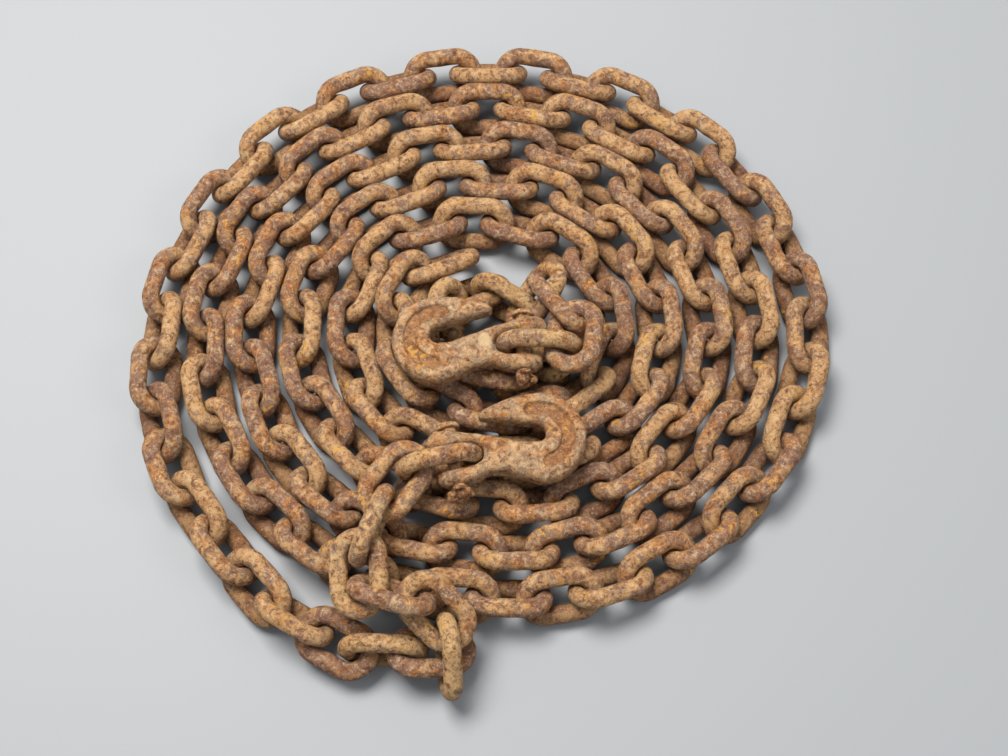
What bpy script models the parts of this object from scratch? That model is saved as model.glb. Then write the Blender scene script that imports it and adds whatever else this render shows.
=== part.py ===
"""Heap of steel chain: one long chain with a clevis grab hook at each end, laid down as a flat coil.

The outer end leaves the coil at the front, turns back over it and ends in the front hook. The inner end
curls up in the middle of the coil and ends in the back hook. X runs to the right, Y to the back and Z up,
in metres, and the origin is on the floor under the middle of the heap.
"""

import math

import bmesh
import bpy
import numpy as np
from mathutils import Matrix

MM = 0.001

# The chain: welded oval links of round bar
WIRE = 10.0 * MM
PITCH = 31.0 * MM
INSIDE_WIDTH = 13.5 * MM
LEG = (INSIDE_WIDTH + WIRE) / 2  # from a link's middle line to the middle of each straight leg
REACH = (PITCH + WIRE) / 2  # from a link's middle to the middle of the bar at its crown
BEND = REACH - LEG  # from a link's middle to the centre of each round end

# The faceted loop that a solid link follows has two corners at each crown, outside the round one
CROWN_CORNER = 30.0
CROWN_SPREAD = 1.155
SECTION_SIDES = 6
SECTION_RADIUS = WIRE / 2
CROWN_SIDES = (1, 5)  # which stretches of the loop are its two crowns
INNER_SIDE = 2  # which side of the section faces into the link

# From bar middle to bar middle where two links hang in each other
MEET = 10.8 * MM

# Rust has seized the links of a run together, by a small neck between their crowns
NECK_INSET = 1.4 * MM

# The coil runs clockwise and inwards from the front. Radii of its outer turn, in millimetres, by turn
COIL_MIDDLE = (-12.0 * MM, 22.0 * MM)
OUTER_TURN = (
    (-0.10, 190.0),
    (0.06, 209.0),
    (0.10, 204.0),
    (0.14, 201.0),
    (0.19, 204.0),
    (0.25, 200.0),
    (0.38, 193.0),
    (0.50, 187.0),
    (0.62, 193.0),
    (0.75, 198.0),
    (0.88, 178.0),
    (1.00, 162.0),
    (1.10, 172.0),
)
TURN_STEP = 25.0 * MM
COIL_START = 0.088
COIL_LINKS = 144
RUN_LENGTH = 5

# How far a link's legs lean from level. Links lean outwards and inwards by turns, and the flatter ones
# lean outwards everywhere but in the sector at the front right, where they lean inwards
FLAT_LEAN = 38.0
SECTOR_MIDDLE = 305.0
SECTOR_HALF = 80.0
SECTOR_SOFT = 15.0
LEAN_PLAY = 4.0
FLAT_DROP = 1.0 * MM
FLOOR_GAP = 0.05 * MM
SEED = 5

# How the turns are packed: each link lies as far out as the turn outside it allows
CLEARANCE = 10.6 * MM
SEARCH_REACH = 58.0 * MM
INWARD_STEP = 0.4 * MM
INWARD_MOST = 14.0 * MM
OUTWARD_MOST = 1.5 * MM

# The hooks: two of one forging, in the plane of U along the hook and V across it, in millimetres from the
# centre of the slot's closed end. The clevis is at +U
HOOK_THICKNESS = 16.4 * MM
HOOK_BEVEL = 1.6 * MM
BEND_CENTRE = (0.0, -2.0)
BEND_RADIUS = 27.3
SLOT_END = (0.5, 0.6)
SLOT_RADIUS = 5.3
THROAT_CENTRE = (40.0, -4.4)
THROAT_RADIUS = 6.8
NECK_EDGE = ((12.3, -24.7), (22.0, -19.2), (32.0, -17.4), (40.0, -20.0), (46.0, -21.2))
LOWER_EAR = ((58.0, -20.5), (62.0, -17.0), (61.5, -12.6), (58.0, -11.4))
UPPER_EAR = ((58.0, 2.4), (62.5, 3.2), (64.5, 6.0), (63.0, 11.0), (58.0, 13.2))
SHANK_EDGE = ((50.0, 11.6), (35.0, 7.2), (20.0, 1.0), (8.0, -3.6))
FINGER_TIP = ((29.0, 15.6), (31.5, 17.0), (29.8, 19.7), (12.3, 24.7))

# The clevis pins, along V in the middle of the hook's thickness: stations and radii from the far end to
# the head, in millimetres. A cotter goes through each pin near its far end
PIN_U = 50.5
PIN_HOLE_RADIUS = 5.0 * MM
PIN_END = -27.0
HEAD_MIDDLE = 16.0
HEAD_RADIUS = 7.0
PIN_PROFILE = (
    (PIN_END, 3.6), (-26.0, 4.6), (13.7, 4.6), (13.72, HEAD_RADIUS), (14.6, HEAD_RADIUS), (16.6, 5.6),
    (18.0, 2.45),
)
PIN_SIDES = 12
DRILL_REACH = 25.0
DRILL_SIDES = 16
COTTER_V = -24.6
COTTER_HOLE_RADIUS = 1.6 * MM
COTTER_HOLE_SIDES = 8
COTTER_RADIUS = 1.1 * MM
COTTER_EYE = 2.6
COTTER_EYE_CENTRE = (1.3, 8.4)
COTTER_LEG = ((4.6, -6.9), (1.6, -6.6), (0.0, -5.4), (0.0, 5.2))
SIDE_HINT = (0.31, 0.2, 0.93)  # any direction that no turned solid's axis runs in

# Points down the middle of the forging, that loose links are kept clear of
HOOK_SPINE = (
    (-22, -6), (-21, 4), (-9, -18), (6, -20), (19, -12), (27, -12),
    (27, 17), (20, 18), (12, 19), (4, 18), (-4, 17), (-12, 13), (-17, 7), (-20, -1), (-18, -9), (-13, -16),
    (-6, -20), (2, -20), (10, -16), (17, -12), (24, -8), (31, -10), (12, -7), (22, -3), (30, 0),
    (38, -15), (46, -16), (54, -16), (46, 7), (54, 8),
)
SPINE_DEPTH = 3.0

# Where each hook lies: its slot end in millimetres, its heading and tilt in degrees, and whether face down
BACK_HOOK = (-39.0, 8.9, 43.2, 0.0, 0.6, False)
FRONT_HOOK = (20.0, -51.0, 41.1, 192.0, 2.4, True)

# The loose ends, link by link away from the coil: where each link's middle lies in millimetres, then its
# heading, pitch and roll in degrees. Roll 0 is flat and 90 stands on edge
TAIL = (
    (-93, -170, 15, -28, 0, 20),
    (-67, -171, 17, 5, 0, 83),
    (-37, -176, 14, 0, 0, -40),
    (-30, -175, 24, 99, 22, 90),
    (-40, -152, 37, 146, 10, 5),
    (-62, -148, 42, 172, 0, 45),
    (-83, -132, 41, 96, 0, 0),
    (-76, -114, 43, 73, 0, -60),
    (-67, -86, 41, 53, 0, 0),
)
INNER_END = (
    (37, 14, 14, 252, 0, 53),
    (14, -6, 13, 188, 0, -40),
    (-12, -5, 14, 170, 0, 38),
    (-34, 6, 12, 128, 0, -35),
    (-39, 31, 14, 82, 0, 42),
    (-25, 47, 12, 28, 0, -35),
    (2, 43, 17, -18, 0, 50),
    (13, 35, 29, 40, 15, -45),
    (29, 25, 41, -40, 0, -55),
    (38, 10, 41, -87, 0, 15),
)

# The last link of each end stands on edge in a hook's fork, with the pin through it
FORK_LINK_U = PIN_U + 0.4
FRONT_LINK_SWING = 0.5
BACK_LINK_SWING = -2.0

# How the loose links are eased clear of each other
EASING_ROUNDS = 500
EASING_STEP = 0.6
EASING_REACH = 53.0 * MM
EASED_GAP = 11.06 * MM
LOWEST_MIDDLE = WIRE / 2 + 0.4 * MM
PIN_POINTS = 9

# From the layout's origin to the middle of the heap's box on the floor, in millimetres
ORIGIN_SHIFT = (12.16, -9.474, -0.379)

# The finish: brown rust, with paler scale on the hooks
LINK_COLOUR = (0.33, 0.17, 0.085, 1.0)
END_LINK_COLOUR = (0.36, 0.19, 0.09, 1.0)
HOOK_COLOUR = (0.42, 0.24, 0.13, 1.0)
PIN_COLOUR = (0.30, 0.15, 0.08, 1.0)
COTTER_COLOUR = (0.36, 0.17, 0.07, 1.0)
RUST_ROUGHNESS = 0.85
RUST_METALLIC = 0.1


def unit(vector):
    return vector / np.linalg.norm(vector)


class Link:
    """A link's place: its middle, the direction that it runs in, and the direction from leg to leg."""

    def __init__(self, middle, along, across):
        self.middle = np.array(middle, float)
        self.along = unit(np.array(along, float))
        side = np.array(across, float)
        self.across = unit(side - self.along * (side @ self.along))

    def normal(self):
        return np.cross(self.along, self.across)

    def placed(self, plan):
        return self.middle + plan[:, :1] * self.along + plan[:, 1:] * self.across


def bend_points(angles, radius):
    """Plan points on a circle round the right-hand bend's centre, by angle from the link's long axis."""
    turn = np.radians(angles)
    return np.stack([BEND + radius * np.cos(turn), radius * np.sin(turn)], axis=1)


def facet_plan():
    """The eight corners of a solid link's loop."""
    end = np.vstack(
        [
            bend_points([-90], LEG),
            bend_points([-CROWN_CORNER, CROWN_CORNER], LEG * CROWN_SPREAD),
            bend_points([90], LEG),
        ]
    )
    return np.vstack([end, -end])


def clearance_plan():
    """Points on the round oval and on the faceted loop, close enough together to measure gaps with."""
    arc = bend_points(np.linspace(-90, 90, 11), LEG)
    leg = np.stack([np.linspace(-BEND, BEND, 7)[1:-1], np.full(5, LEG)], axis=1)
    corners = bend_points([-CROWN_CORNER, CROWN_CORNER], LEG * CROWN_SPREAD)
    shoulders = (corners + bend_points([-90, 90], LEG)) / 2
    half = np.vstack([arc, leg, corners, shoulders])
    return np.vstack([half, -half])


def outer_radius(turn):
    """The outer turn's radius, on a smooth curve through OUTER_TURN."""
    turns = [t for t, _ in OUTER_TURN]
    radii = [r * MM for _, r in OUTER_TURN]
    k = max(1, min(int(np.searchsorted(turns, turn)), len(turns) - 1))
    share = (turn - turns[k - 1]) / (turns[k] - turns[k - 1])
    share = min(max(share, 0.0), 1.0)
    slopes = np.gradient(radii, turns)
    span = turns[k] - turns[k - 1]
    a, b = radii[k - 1], radii[k]
    ease = share * share * (3 - 2 * share)
    swing = share * (1 - share) * span * (slopes[k - 1] * (1 - share) - slopes[k] * share)
    return a + (b - a) * ease + swing


def wanted_radius(turn):
    """The outer turn's radius, and one step less for each turn inside it."""
    inner = 0
    while turn > OUTER_TURN[-1][0]:
        turn -= 1
        inner += 1
    return outer_radius(turn) - inner * TURN_STEP


def lean_out(turn):
    """How steep the links that lean outwards are at this place: flat, or steep in the front right sector."""
    bearing = 270.0 - 360.0 * turn
    off = abs((bearing - SECTOR_MIDDLE + 180.0) % 360.0 - 180.0)
    share = min(max((SECTOR_HALF - off) / SECTOR_SOFT, -1.0), 1.0)
    return 45.0 + (45.0 - FLAT_LEAN) * math.sin(share * math.pi / 2)


def coil_link(turn, radius, slope, side, play):
    """A link of the coil. side is 1 where it leans outwards and -1 where it leans inwards."""
    bearing = math.radians(270.0 - 360.0 * turn)
    outward = np.array([math.cos(bearing), math.sin(bearing), 0.0])
    clockwise = np.array([outward[1], -outward[0], 0.0])
    along = unit(clockwise + slope * outward)
    left = np.array([-along[1], along[0], 0.0])
    steep = lean_out(turn)
    lean = steep if side > 0 else 90.0 - steep
    height = LEG * math.sin(math.radians(max(steep, 90.0 - steep))) + WIRE / 2 + FLOOR_GAP
    if lean < 45.0:
        height -= FLAT_DROP
    lean = math.radians(lean + play)
    across = side * math.cos(lean) * left + np.array([0.0, 0.0, math.sin(lean)])
    middle = np.array([COIL_MIDDLE[0], COIL_MIDDLE[1], height]) + radius * outward
    return Link(middle, along, across)


def spacing(before, after):
    """From middle to middle of two links that hang in each other."""
    half_turn = math.acos(min(1.0, float(before.along @ after.along))) / 2
    return 2 * REACH * math.cos(half_turn) - MEET


def coil_links():
    """The coil's links from the outside in. Each is tried from the outside until it is clear of the rest."""
    rng = np.random.default_rng(SEED)
    plan = clearance_plan()
    turn, radius, side = COIL_START, wanted_radius(COIL_START), 1
    links = [coil_link(turn, radius, 0.0, side, 0.0)]
    clouds = [links[0].placed(plan)]
    while len(links) < COIL_LINKS:
        side = -side
        before = links[-1]
        play = rng.uniform(-LEAN_PLAY, LEAN_PLAY)
        ahead = turn + PITCH / (2 * math.pi * radius)
        first = min(wanted_radius(ahead), radius + OUTWARD_MOST)
        middles = np.array([link.middle for link in links[:-1]]).reshape(-1, 3)
        best = None
        for inward in np.arange(0.0, INWARD_MOST, INWARD_STEP):
            r = first - inward
            slope = (r - radius) / PITCH / 2
            t = ahead
            for _ in range(4):
                link = coil_link(t, r, slope, side, play)
                short = spacing(before, link) - np.linalg.norm(link.middle - before.middle)
                t += short / (2 * math.pi * r)
            link = coil_link(t, r, slope, side, play)
            cloud = link.placed(plan)
            near = np.linalg.norm(middles - link.middle, axis=1) < SEARCH_REACH
            gap = SEARCH_REACH
            for k in np.flatnonzero(near):
                apart = cloud[:, None] - clouds[k][None]
                gap = min(gap, math.sqrt(float((apart * apart).sum(axis=2).min())))
            if best is None or gap > best[0]:
                best = (gap, t, r, link, cloud)
            if gap >= CLEARANCE:
                break
        _, turn, radius, link, cloud = best
        links.append(link)
        clouds.append(cloud)
    return links


def posed_link(x, y, z, heading, pitch, roll):
    """A link placed by hand."""
    a, b, c = (math.radians(angle) for angle in (heading, pitch, roll))
    level = np.array([math.cos(a), math.sin(a), 0.0])
    left = np.array([-math.sin(a), math.cos(a), 0.0])
    up = np.array([0.0, 0.0, 1.0])
    along = math.cos(b) * level + math.sin(b) * up
    rise = math.cos(b) * up - math.sin(b) * level
    return Link(np.array([x, y, z]) * MM, along, math.cos(c) * left + math.sin(c) * rise)


def eased_apart(links, still):
    """Links laid by hand or by rule, each moved just enough to lie clear of the rest and of the floor.

    Still holds the points that don't move. Wherever two bars are closer than EASED_GAP, each of their
    points is pushed back by half of what is missing, and each link follows the pushes on it.
    """
    plan = clearance_plan()
    middles = np.array([link.middle for link in links])
    along = np.array([link.along for link in links])
    across = np.array([link.across for link in links])
    apart = np.linalg.norm(middles[:, None] - middles[None], axis=2)
    first, second = np.nonzero(np.triu(apart < EASING_REACH, 1))
    near, obstacles = np.nonzero(np.linalg.norm(middles[:, None] - still[None], axis=2) < EASING_REACH)
    for _ in range(EASING_ROUNDS):
        clouds = middles[:, None] + plan[:, :1] * along[:, None] + plan[:, 1:] * across[:, None]
        moves = np.zeros_like(clouds)
        touches = np.zeros(clouds.shape[:2])
        gaps = clouds[first][:, :, None] - clouds[second][:, None]
        sizes = np.sqrt(np.einsum("pijk,pijk->pij", gaps, gaps))
        for mine, axis, sign in ((first, 2, 1.0), (second, 1, -1.0)):
            nearest = sizes.argmin(axis=axis)
            least = sizes.min(axis=axis)
            rows, points = np.nonzero(least < EASED_GAP)
            if axis == 2:
                push = gaps[rows, points, nearest[rows, points]]
            else:
                push = gaps[rows, nearest[rows, points], points]
            size = least[rows, points][:, None]
            np.add.at(moves, (mine[rows], points), sign * push / size * (EASED_GAP - size) / 2)
            np.add.at(touches, (mine[rows], points), 1.0)
        gaps = clouds[near] - still[obstacles][:, None]
        sizes = np.linalg.norm(gaps, axis=2)
        rows, points = np.nonzero(sizes < EASED_GAP)
        size = sizes[rows, points][:, None]
        np.add.at(moves, (near[rows], points), gaps[rows, points] / size * (EASED_GAP - size))
        np.add.at(touches, (near[rows], points), 1.0)
        sunk = np.maximum(LOWEST_MIDDLE - clouds[:, :, 2], 0.0)
        moves[:, :, 2] += sunk
        touches += sunk > 0
        count = np.maximum(touches.sum(axis=1), 1.0)[:, None]
        arms = clouds - middles[:, None]
        twist = np.cross(arms, moves).sum(axis=1) / count * EASING_STEP / (REACH * REACH / 2)
        middles += moves.sum(axis=1) / count * EASING_STEP
        along += np.cross(twist, along)
        across += np.cross(twist, across)
        along /= np.linalg.norm(along, axis=1, keepdims=True)
        across -= along * np.einsum("ij,ij->i", across, along)[:, None]
        across /= np.linalg.norm(across, axis=1, keepdims=True)
    return [Link(*rows) for rows in zip(middles, along, across)]


class Place:
    """A hook's place: the axes U along it, V across it and W through it, and its slot end."""

    def __init__(self, x, y, z, heading, tilt, face_down):
        a, b = math.radians(heading), math.radians(tilt)
        ahead = np.array([math.cos(a), math.sin(a), 0.0])
        up = np.array([0.0, 0.0, 1.0])
        self.origin = np.array([x, y, z]) * MM
        self.u = math.cos(b) * ahead + math.sin(b) * up
        self.w = math.cos(b) * up - math.sin(b) * ahead
        if face_down:
            self.w = -self.w
        self.v = np.cross(self.w, self.u)

    def at(self, points):
        """Points given in millimetres along U, V and W, in the layout."""
        u, v, w = (np.array(points, float) * MM).T
        return self.origin + np.outer(u, self.u) + np.outer(v, self.v) + np.outer(w, self.w)

    def matrix(self, shift):
        rows = np.eye(4)
        rows[:3] = np.stack([self.u, self.v, self.w, self.origin + shift], axis=1)
        return Matrix(rows.tolist())


def hook_cloud(place):
    """Points inside a hook, each half a bar's thickness below its faces."""
    return place.at([(u, v, w) for u, v in HOOK_SPINE for w in (-SPINE_DEPTH, SPINE_DEPTH)])


def pin_cloud(place):
    """Points along a pin's middle line, and round the middle of its head."""
    points = [(PIN_U, v, 0.0) for v in np.linspace(PIN_END, PIN_PROFILE[-1][0], PIN_POINTS)]
    rim = arc((0.0, 0.0), HEAD_RADIUS / 2, 0, 360, PIN_POINTS - 1)
    points += [(PIN_U + x, HEAD_MIDDLE, z) for x, z in rim]
    return place.at(points)


def fork_link(place, swing):
    """The link that stands on edge in a hook's fork. Swing turns it from the hook's own heading, in degrees."""
    bend = place.at([(FORK_LINK_U, THROAT_CENTRE[1], 0.0)])[0]
    heading = math.atan2(place.u[1], place.u[0]) + math.radians(swing)
    away = np.array([math.cos(heading), math.sin(heading), 0.0])
    return Link(bend + BEND * away, -away, np.array([0.0, 0.0, 1.0]))


def laid_chain():
    """Every link of the chain: the coil, the tail that ends in the front hook, and the inner end."""
    coil = coil_links()
    front, back = Place(*FRONT_HOOK), Place(*BACK_HOOK)
    fork_links = [fork_link(front, FRONT_LINK_SWING), fork_link(back, BACK_LINK_SWING)]
    still = [link.placed(clearance_plan()) for link in fork_links]
    still += [pin_cloud(front), pin_cloud(back), hook_cloud(front), hook_cloud(back)]
    by_hand = [posed_link(*row) for row in TAIL + INNER_END]
    eased = eased_apart(coil + by_hand, np.vstack(still))
    tail_start, inner_start = len(coil), len(coil) + len(TAIL)
    tail = eased[tail_start:inner_start] + [fork_links[0]]
    inner_end = eased[inner_start:] + [fork_links[1]]
    return eased[:tail_start], tail, inner_end


def add_link(mesh, link, shift):
    """Sweeps the bar's section round a link's corners, and returns the inner face of each crown."""
    corners = list(link.placed(facet_plan()) + shift)
    count = len(corners)
    rings = []
    for k, corner in enumerate(corners):
        before = unit(corner - corners[k - 1])
        after = unit(corners[(k + 1) % count] - corner)
        outward = unit(np.cross(unit(before + after), link.normal()))
        widen = 1 / math.cos(math.acos(min(1.0, float(before @ after))) / 2)
        ring = []
        for m in range(SECTION_SIDES):
            angle = (m + 0.5) * 2 * math.pi / SECTION_SIDES
            offset = outward * math.cos(angle) * widen + link.normal() * math.sin(angle)
            ring.append(mesh.verts.new(corner + SECTION_RADIUS * offset))
        rings.append(ring)
    crowns = []
    for k, ring in enumerate(rings):
        following = rings[(k + 1) % count]
        for m in range(SECTION_SIDES):
            n = (m + 1) % SECTION_SIDES
            face = mesh.faces.new((ring[m], ring[n], following[n], following[m]))
            if k in CROWN_SIDES and m == INNER_SIDE:
                crowns.append(face)
    return crowns


def add_neck(mesh, crown, following_crown):
    """Joins two crowns by a short neck between the middles of their inner faces."""
    bmesh.ops.inset_individual(mesh, faces=[crown, following_crown], thickness=NECK_INSET)
    edges = list(crown.edges) + list(following_crown.edges)
    bmesh.ops.delete(mesh, geom=[crown, following_crown], context="FACES_ONLY")
    bmesh.ops.bridge_loops(mesh, edges=edges)


def finished(name, mesh, material):
    """A new object from this bmesh, with its faces pointing out."""
    bmesh.ops.recalc_face_normals(mesh, faces=mesh.faces)
    data = bpy.data.meshes.new(name)
    mesh.to_mesh(data)
    mesh.free()
    data.materials.append(material)
    obj = bpy.data.objects.new(name, data)
    bpy.context.scene.collection.objects.link(obj)
    return obj


def chain_solid(name, links, shift, material):
    """One closed solid of these links, with a neck at each joint between them."""
    mesh = bmesh.new()
    crowns = [add_link(mesh, link, shift) for link in links]
    for here, following in zip(crowns, crowns[1:]):
        add_neck(mesh, here[0], following[1])
    return finished(name, mesh, material)


def combined(obj, helpers, operation):
    """Applies a Boolean with each helper in turn, and removes the helpers."""
    for helper in helpers:
        change = obj.modifiers.new("combine", "BOOLEAN")
        change.operation = operation
        change.solver = "EXACT"
        change.object = helper
    graph = bpy.context.evaluated_depsgraph_get()
    result = bpy.data.meshes.new_from_object(obj.evaluated_get(graph))
    obj.modifiers.clear()
    obj.data = result
    for helper in helpers:
        bpy.data.objects.remove(helper)
    return obj


def arc(centre, radius, first, last, steps):
    angles = np.radians(np.linspace(first, last, steps + 1))
    return [(centre[0] + radius * math.cos(a), centre[1] + radius * math.sin(a)) for a in angles]


def hook_outline():
    """The forging's outline, anticlockwise from the finger's back."""
    outline = arc(BEND_CENTRE, BEND_RADIUS, 82, 275, 11)
    outline += NECK_EDGE + LOWER_EAR
    outline += arc(THROAT_CENTRE, THROAT_RADIUS, 270, 90, 4)
    outline += UPPER_EAR + SHANK_EDGE
    outline += arc(SLOT_END, SLOT_RADIUS, -62, -252, 5)
    outline += FINGER_TIP
    return outline


def bar_along(mesh, axis_points, radii, sides):
    """A turned solid: rings of these radii at these points along one straight axis, closed by flat ends."""
    start, end = np.array(axis_points[0]), np.array(axis_points[-1])
    axis = unit(end - start)
    side = unit(np.cross(axis, SIDE_HINT))
    up = np.cross(axis, side)
    rings = []
    for point, radius in zip(axis_points, radii):
        ring = []
        for k in range(sides):
            angle = 2 * math.pi * k / sides
            offset = side * math.cos(angle) + up * math.sin(angle)
            ring.append(mesh.verts.new(np.array(point) + radius * offset))
        rings.append(ring)
    for near, far in zip(rings, rings[1:]):
        for k in range(sides):
            n = (k + 1) % sides
            mesh.faces.new((near[k], near[n], far[n], far[k]))
    mesh.faces.new(rings[0][::-1])
    mesh.faces.new(rings[-1])


def pin_axis(stations):
    """Points on the pin's axis, at these distances across the hook."""
    return [(PIN_U * MM, v * MM, 0.0) for v in stations]


def hook(name, place, shift, material):
    """A forging of one outline with bevelled edges, drilled through both ears for the pin."""
    mesh = bmesh.new()
    half = HOOK_THICKNESS / 2
    face = mesh.faces.new([mesh.verts.new((u * MM, v * MM, -half)) for u, v in hook_outline()])
    grown = bmesh.ops.extrude_face_region(mesh, geom=[face])
    top = [item for item in grown["geom"] if isinstance(item, bmesh.types.BMVert)]
    bmesh.ops.translate(mesh, vec=(0.0, 0.0, HOOK_THICKNESS), verts=top)
    rim = [edge for edge in mesh.edges if abs(abs(edge.verts[0].co.z) - half) < MM / 100]
    rim = [edge for edge in rim if abs(edge.verts[0].co.z - edge.verts[1].co.z) < MM / 100]
    bmesh.ops.bevel(mesh, geom=rim, offset=HOOK_BEVEL, segments=1, affect="EDGES")
    forging = finished(name, mesh, material)
    drill = bmesh.new()
    bar_along(drill, pin_axis([-DRILL_REACH, DRILL_REACH]), [PIN_HOLE_RADIUS] * 2, DRILL_SIDES)
    combined(forging, [finished(name + "_drill", drill, material)], "DIFFERENCE")
    forging.matrix_world = place.matrix(shift)
    return forging


def hook_pin(name, place, shift, material):
    """The clevis pin, with its head on the ear at +V and a cross hole near its end."""
    mesh = bmesh.new()
    stations = [v for v, _ in PIN_PROFILE]
    radii = [radius * MM for _, radius in PIN_PROFILE]
    bar_along(mesh, pin_axis(stations), radii, PIN_SIDES)
    pin = finished(name, mesh, material)
    drill = bmesh.new()
    ends = [(PIN_U * MM, COTTER_V * MM, w * MM) for w in (-HEAD_RADIUS, HEAD_RADIUS)]
    bar_along(drill, ends, [COTTER_HOLE_RADIUS] * 2, COTTER_HOLE_SIDES)
    combined(pin, [finished(name + "_drill", drill, material)], "DIFFERENCE")
    pin.matrix_world = place.matrix(shift)
    return pin


def cotter_path(up):
    """The cotter's middle line: a bent leg, the straight through the pin and an open eye. Up is 1 or -1."""
    eye = arc(COTTER_EYE_CENTRE, COTTER_EYE, -100, 170, 6)
    return [(PIN_U + x, COTTER_V, z * up) for x, z in [*COTTER_LEG, *eye]]


def cotter(name, place, shift, material):
    """The bent pin that keeps the clevis pin in, as a round wire along its middle line."""
    curve = bpy.data.curves.new(name, "CURVE")
    curve.dimensions = "3D"
    curve.bevel_depth = COTTER_RADIUS
    curve.bevel_resolution = 1
    curve.use_fill_caps = True
    line = curve.splines.new("POLY")
    path = cotter_path(1.0 if place.w[2] > 0 else -1.0)
    line.points.add(len(path) - 1)
    for point, (x, y, z) in zip(line.points, path):
        point.co = (x * MM, y * MM, z * MM, 1.0)
    curve.materials.append(material)
    obj = bpy.data.objects.new(name, curve)
    bpy.context.scene.collection.objects.link(obj)
    obj.matrix_world = place.matrix(shift)
    return obj


def rust(name, colour):
    material = bpy.data.materials.new(name)
    material.use_nodes = True
    shader = material.node_tree.nodes["Principled BSDF"]
    shader.inputs["Base Color"].default_value = colour
    shader.inputs["Roughness"].default_value = RUST_ROUGHNESS
    shader.inputs["Metallic"].default_value = RUST_METALLIC
    material.diffuse_color = colour
    return material


def main():
    for obj in list(bpy.data.objects):
        bpy.data.objects.remove(obj)
    coil, tail, inner_end = laid_chain()
    shift = np.array(ORIGIN_SHIFT) * MM
    coil_rust = rust("coil_rust", LINK_COLOUR)
    end_rust = rust("end_rust", END_LINK_COLOUR)
    for start in range(0, len(coil), RUN_LENGTH):
        name = f"coil_links_{start // RUN_LENGTH + 1:02d}"
        chain_solid(name, coil[start : start + RUN_LENGTH], shift, coil_rust)
    for k, link in enumerate(tail):
        chain_solid(f"tail_link_{k + 1:02d}", [link], shift, end_rust)
    for k, link in enumerate(inner_end):
        chain_solid(f"inner_link_{k + 1:02d}", [link], shift, end_rust)
    hook_rust = rust("hook_rust", HOOK_COLOUR)
    pin_rust = rust("pin_rust", PIN_COLOUR)
    cotter_rust = rust("cotter_rust", COTTER_COLOUR)
    for side, row in (("front", FRONT_HOOK), ("back", BACK_HOOK)):
        place = Place(*row)
        hook(f"{side}_hook", place, shift, hook_rust)
        hook_pin(f"{side}_hook_pin", place, shift, pin_rust)
        cotter(f"{side}_hook_cotter", place, shift, cotter_rust)


main()
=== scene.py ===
"""The looks of the heap of steel chain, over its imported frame.

The layout is the frame's own, worked out again from the same values. On it lie round links with a pitted
skin, forged hooks with their recesses, clevis pins and cotters, all under brown rust.
"""

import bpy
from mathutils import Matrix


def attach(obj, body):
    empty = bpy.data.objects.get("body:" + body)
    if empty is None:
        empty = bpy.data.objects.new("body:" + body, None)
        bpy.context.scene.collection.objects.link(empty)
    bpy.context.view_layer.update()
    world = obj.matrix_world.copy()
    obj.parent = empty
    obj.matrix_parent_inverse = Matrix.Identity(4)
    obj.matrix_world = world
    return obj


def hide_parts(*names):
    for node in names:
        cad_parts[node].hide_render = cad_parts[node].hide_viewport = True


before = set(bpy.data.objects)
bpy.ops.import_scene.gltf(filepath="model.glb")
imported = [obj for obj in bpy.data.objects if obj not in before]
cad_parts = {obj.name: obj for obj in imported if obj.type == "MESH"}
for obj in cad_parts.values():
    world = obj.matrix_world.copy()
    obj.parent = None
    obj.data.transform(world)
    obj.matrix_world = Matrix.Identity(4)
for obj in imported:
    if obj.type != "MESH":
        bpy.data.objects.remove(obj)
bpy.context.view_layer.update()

import math

import bmesh
import bpy
import numpy as np
from mathutils import Matrix, Vector, noise

MM = 0.001

# The chain: welded oval links of round bar
WIRE = 10.0 * MM
PITCH = 31.0 * MM
INSIDE_WIDTH = 13.5 * MM
LEG = (INSIDE_WIDTH + WIRE) / 2  # from a link's middle line to the middle of each straight leg
REACH = (PITCH + WIRE) / 2  # from a link's middle to the middle of the bar at its crown
BEND = REACH - LEG  # from a link's middle to the centre of each round end

# The faceted loop that a solid link follows has two corners at each crown, outside the round one
CROWN_CORNER = 30.0
CROWN_SPREAD = 1.155

# From bar middle to bar middle where two links hang in each other
MEET = 10.8 * MM

# The coil runs clockwise and inwards from the front. Its outer turn has its radii in millimetres, by
# turn, and each turn inside it is one step smaller
COIL_MIDDLE = (-12.0 * MM, 22.0 * MM)
OUTER_TURN = (
    (-0.10, 190.0),
    (0.06, 209.0),
    (0.10, 204.0),
    (0.14, 201.0),
    (0.19, 204.0),
    (0.25, 200.0),
    (0.38, 193.0),
    (0.50, 187.0),
    (0.62, 193.0),
    (0.75, 198.0),
    (0.88, 178.0),
    (1.00, 162.0),
    (1.10, 172.0),
)
TURN_STEP = 25.0 * MM
COIL_START = 0.088
COIL_LINKS = 144
RUN_LENGTH = 5

# How far a link's legs lean from level. Links lean outwards and inwards by turns, and the flatter ones
# lean outwards everywhere but in the sector at the front right, where they lean inwards
FLAT_LEAN = 38.0
SECTOR_MIDDLE = 305.0
SECTOR_HALF = 80.0
SECTOR_SOFT = 15.0
LEAN_PLAY = 4.0
FLAT_DROP = 1.0 * MM
FLOOR_GAP = 0.05 * MM
SEED = 5

# How the turns are packed: each link lies as far out as the turn outside it allows
CLEARANCE = 10.6 * MM
SEARCH_REACH = 58.0 * MM
INWARD_STEP = 0.4 * MM
INWARD_MOST = 14.0 * MM
OUTWARD_MOST = 1.5 * MM
SPACING_ROUNDS = 4

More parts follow.
